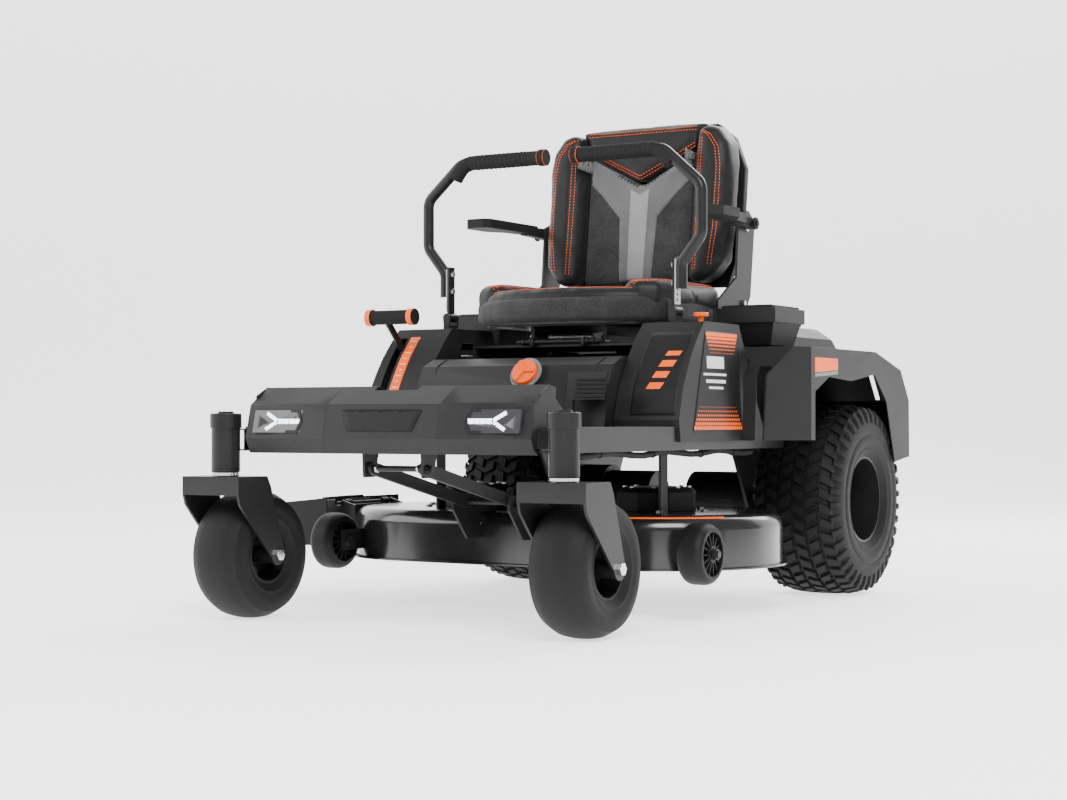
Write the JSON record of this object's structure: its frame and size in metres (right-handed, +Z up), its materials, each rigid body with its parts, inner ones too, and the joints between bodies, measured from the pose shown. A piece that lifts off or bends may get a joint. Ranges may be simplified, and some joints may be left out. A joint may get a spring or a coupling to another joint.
{
  "type": "zero turn mower",
  "caption": "Battery ride-on mower: welded tube frame, swivelling front casters, treaded drive wheels, twin-blade side-discharge deck, twin steering levers and high-backed seat",
  "frame": {"origin": "on the ground under the middle of the whole object's box", "axes": "+X is the operator's left, +Y points from the casters to the rear, +Z is up"},
  "size_m": [1.252, 1.614, 1.148],
  "materials": {
    "frame_paint": "satin",
    "deck_paint": "gloss",
    "bracket_paint": "satin",
    "steel": "brushed",
    "chrome": "polished",
    "motor_alloy": "black coated",
    "tyre": "moulded",
    "rubber": "matt",
    "charcoal_plastic": "fine texture",
    "black_plastic": "fine texture",
    "orange_plastic": "satin",
    "lamp": "clear lens",
    "upholstery": "vinyl with stitching",
    "pack_shell": "moulded"
  },
  "bodies": {
    "chassis": {"frame": "frame_paint", "floor_pan": "frame_paint", "foot_mat": "rubber", "caster_tubes": "frame_paint", "drive_motors": "motor_alloy", "fascia_centre": "charcoal_plastic", "fascia_ends": "charcoal_plastic", "headlamps": "lamp", "console_left": "charcoal_plastic", "console_right": "charcoal_plastic", "battery_cover": "black_plastic", "fenders": "charcoal_plastic", "rear_body": "black_plastic", "storage_bins": "black_plastic", "seat_support": "bracket_paint", "battery_packs": "pack_shell", "controller": "motor_alloy"},
    "deck": {"deck_shell": "deck_paint", "deck_brackets": "bracket_paint", "deck_motors": "motor_alloy"},
    "chute": {"discharge_chute": "black_plastic"},
    "front_links": {"front_links": "steel"},
    "lift_lever": {"lift_shaft": "bracket_paint", "lift_grip": "rubber"},
    "charge_cap": {"charge_cap": "orange_plastic"},
    "pedal": {"brake_pedal": "bracket_paint"},
    "key": {"key_switch": "black_plastic"},
    "blade_knob": {"blade_knob": "orange_plastic"},
    "rear_cover": {"rear_cover": "charcoal_plastic"},
    "seat_base": {"seat_hinge_plate": "bracket_paint"},
    "seat": {"seat_pan": "bracket_paint", "seat_cushion": "upholstery", "back_cushion": "upholstery", "back_shell": "black_plastic"},
    "caster_left": {"caster_fork_left": "frame_paint", "caster_axle_left": "chrome"},
    "caster_wheel_left": {"caster_tyre_left": "tyre", "caster_hub_left": "black_plastic"},
    "drive_wheel_left": {"rear_tyre_left": "tyre", "rear_wheel_left": "frame_paint"},
    "blade_left": {"blade_left": "steel"},
    "gauge_left": {"gauge_wheel_left": "black_plastic"},
    "bin_lid_left": {"bin_lid_left": "black_plastic"},
    "armrest_left": {"armrest_left": "rubber"},
    "lever_base_left": {"lever_base_left": "bracket_paint"},
    "lever_left": {"lever_tube_left": "frame_paint", "lever_grip_left": "rubber"},
    "caster_right": {"caster_fork_right": "frame_paint", "caster_axle_right": "chrome"},
    "caster_wheel_right": {"caster_tyre_right": "tyre", "caster_hub_right": "black_plastic"},
    "drive_wheel_right": {"rear_tyre_right": "tyre", "rear_wheel_right": "frame_paint"},
    "blade_right": {"blade_right": "steel"},
    "gauge_right": {"gauge_wheel_right": "black_plastic"},
    "bin_lid_right": {"bin_lid_right": "black_plastic"},
    "armrest_right": {"armrest_right": "rubber"},
    "lever_base_right": {"lever_base_right": "bracket_paint"},
    "lever_right": {"lever_tube_right": "frame_paint", "lever_grip_right": "rubber"}
  },
  "joints": [
    {"name": "deck_lift", "type": "slide", "parent": "chassis", "child": "deck", "axis": [0, 0, 1], "range_m": [-0.072, 0]},
    {"name": "caster_swivel_left", "type": "hinge", "parent": "chassis", "child": "caster_left", "pos_m": [0.508, -0.753, 0.35], "axis": [0, 0, 1], "continuous": true},
    {"name": "caster_roll_left", "type": "hinge", "parent": "caster_left", "child": "caster_wheel_left", "pos_m": [0.508, -0.671, 0.136], "axis": [1, 0, 0], "continuous": true},
    {"name": "drive_roll_left", "type": "hinge", "parent": "chassis", "child": "drive_wheel_left", "pos_m": [0.509, 0.53, 0.23], "axis": [1, 0, 0], "continuous": true},
    {"name": "caster_swivel_right", "type": "hinge", "parent": "chassis", "child": "caster_right", "pos_m": [-0.31, -0.753, 0.35], "axis": [0, 0, 1], "continuous": true},
    {"name": "caster_roll_right", "type": "hinge", "parent": "caster_right", "child": "caster_wheel_right", "pos_m": [-0.31, -0.671, 0.136], "axis": [1, 0, 0], "continuous": true},
    {"name": "drive_roll_right", "type": "hinge", "parent": "chassis", "child": "drive_wheel_right", "pos_m": [-0.311, 0.53, 0.23], "axis": [1, 0, 0], "continuous": true},
    {"name": "blade_spin_left", "type": "hinge", "parent": "deck", "child": "blade_left", "pos_m": [0.327, -0.023, 0.126], "axis": [0, 0, 1], "continuous": true},
    {"name": "blade_spin_right", "type": "hinge", "parent": "deck", "child": "blade_right", "pos_m": [-0.173, -0.003, 0.126], "axis": [0, 0, 1], "continuous": true},
    {"name": "gauge_roll_left", "type": "hinge", "parent": "deck", "child": "gauge_left", "pos_m": [0.567, -0.291, 0.143], "axis": [1, 0, 0], "continuous": true},
    {"name": "gauge_roll_right", "type": "hinge", "parent": "deck", "child": "gauge_right", "pos_m": [-0.369, -0.291, 0.143], "axis": [1, 0, 0], "continuous": true},
    {"name": "chute_swing", "type": "hinge", "parent": "deck", "child": "chute", "pos_m": [-0.46, -0.043, 0.222], "axis": [0, 1, 0], "range_deg": [0, 80]},
    {"name": "lift_handle", "type": "hinge", "parent": "chassis", "child": "lift_lever", "pos_m": [0.099, 0.047, 0.379], "axis": [1, 0, 0], "range_deg": [0, 25]},
    {"name": "front_link_swing", "type": "hinge", "parent": "chassis", "child": "front_links", "pos_m": [0.099, -0.711, 0.322], "axis": [1, 0, 0], "range_deg": [-12.2, 0]},
    {"name": "charge_cap_turn", "type": "hinge", "parent": "chassis", "child": "charge_cap", "pos_m": [0.141, -0.284, 0.522], "axis": [0, -0.8779, 0.4789], "range_deg": [0, 90]},
    {"name": "pedal_press", "type": "hinge", "parent": "chassis", "child": "pedal", "pos_m": [0.275, -0.323, 0.42], "axis": [1, 0, 0], "range_deg": [0, 18], "stiffness_Nm_per_rad": 8, "springref_deg": -8.59},
    {"name": "key_turn", "type": "hinge", "parent": "chassis", "child": "key", "pos_m": [0.444, 0.007, 0.64], "axis": [0, 0, 1], "range_deg": [0, 60]},
    {"name": "knob_pull", "type": "slide", "parent": "chassis", "child": "blade_knob", "axis": [0, 0, 1], "range_m": [0, 0.012]},
    {"name": "rear_cover_open", "type": "hinge", "parent": "chassis", "child": "rear_cover", "pos_m": [0.099, 0.784, 0.592], "axis": [1, 0, 0], "range_deg": [-60, 0]},
    {"name": "bin_lid_open_left", "type": "hinge", "parent": "chassis", "child": "bin_lid_left", "pos_m": [0.465, 0.3245, 0.643], "axis": [1, 0, 0], "range_deg": [-95, 0]},
    {"name": "bin_lid_open_right", "type": "hinge", "parent": "chassis", "child": "bin_lid_right", "pos_m": [-0.267, 0.3245, 0.643], "axis": [1, 0, 0], "range_deg": [-95, 0]},
    {"name": "seat_tilt", "type": "hinge", "parent": "chassis", "child": "seat_base", "pos_m": [0.099, -0.069, 0.6], "axis": [1, 0, 0], "range_deg": [0, 18]},
    {"name": "seat_slide", "type": "slide", "parent": "seat_base", "child": "seat", "axis": [0, -1, 0], "range_m": [-0.06, 0.018]},
    {"name": "armrest_raise_left", "type": "hinge", "parent": "seat", "child": "armrest_left", "pos_m": [0.399, 0.345, 0.89], "axis": [1, 0, 0], "range_deg": [-85, 0]},
    {"name": "armrest_raise_right", "type": "hinge", "parent": "seat", "child": "armrest_right", "pos_m": [-0.201, 0.345, 0.89], "axis": [1, 0, 0], "range_deg": [-85, 0]},
    {"name": "lever_drive_left", "type": "hinge", "parent": "chassis", "child": "lever_base_left", "pos_m": [0.396, -0.065, 0.6], "axis": [1, 0, 0], "range_deg": [-15, 18]},
    {"name": "lever_swing_left", "type": "hinge", "parent": "lever_base_left", "child": "lever_left", "pos_m": [0.396, -0.065, 0.662], "axis": [0, 1, 0], "range_deg": [0, 45]},
    {"name": "lever_drive_right", "type": "hinge", "parent": "chassis", "child": "lever_base_right", "pos_m": [-0.198, -0.065, 0.6], "axis": [1, 0, 0], "range_deg": [-15, 18]},
    {"name": "lever_swing_right", "type": "hinge", "parent": "lever_base_right", "child": "lever_right", "pos_m": [-0.198, -0.065, 0.662], "axis": [0, -1, 0], "range_deg": [0, 45]}
  ],
  "couplings": [
    {"joint": "lift_handle", "follows": "deck_lift", "rad_per_m": -6.06},
    {"joint": "front_link_swing", "follows": "deck_lift", "rad_per_m": 2.9496}
  ]
}
